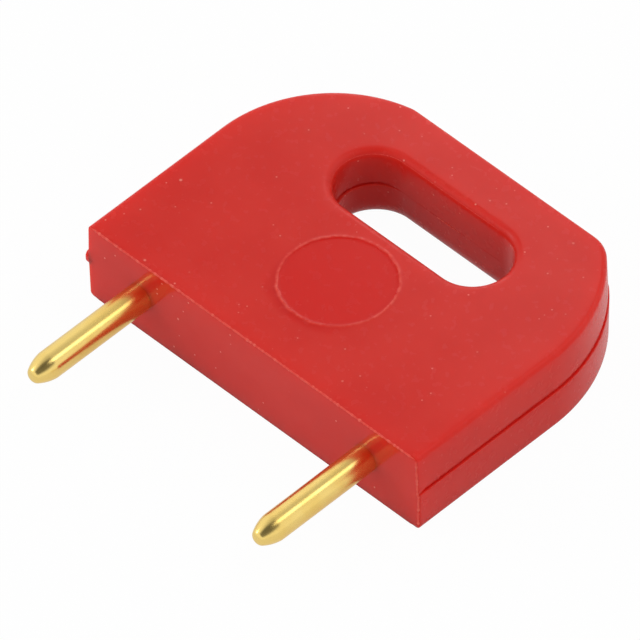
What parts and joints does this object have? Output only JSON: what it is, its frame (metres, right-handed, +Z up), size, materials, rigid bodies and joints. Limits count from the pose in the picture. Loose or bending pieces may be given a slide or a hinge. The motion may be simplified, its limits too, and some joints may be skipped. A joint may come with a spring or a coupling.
{
  "type": "jumper shunt",
  "caption": "Flat rounded plastic grip with a finger slot, moulded around a U-bent gold-plated wire whose straight pins plug in to bridge neighbouring sockets.",
  "frame": {"origin": "middle of the base face, at half the thickness, between the two pins", "axes": "+X along the pitch from the left pin to the right one, -Y the way the pins point, +Z up through the thickness from the broad face that it lies on"},
  "size_m": [0.0151, 0.0159, 0.0032],
  "materials": {
    "grip_plastic": "satin red moulding with fine specks and a parting line",
    "gold_wire": "bright gold plating on drawn round wire"
  },
  "bodies": {
    "root": {"grip_body": "grip_plastic", "link_wire": "gold_wire"}
  },
  "joints": []
}
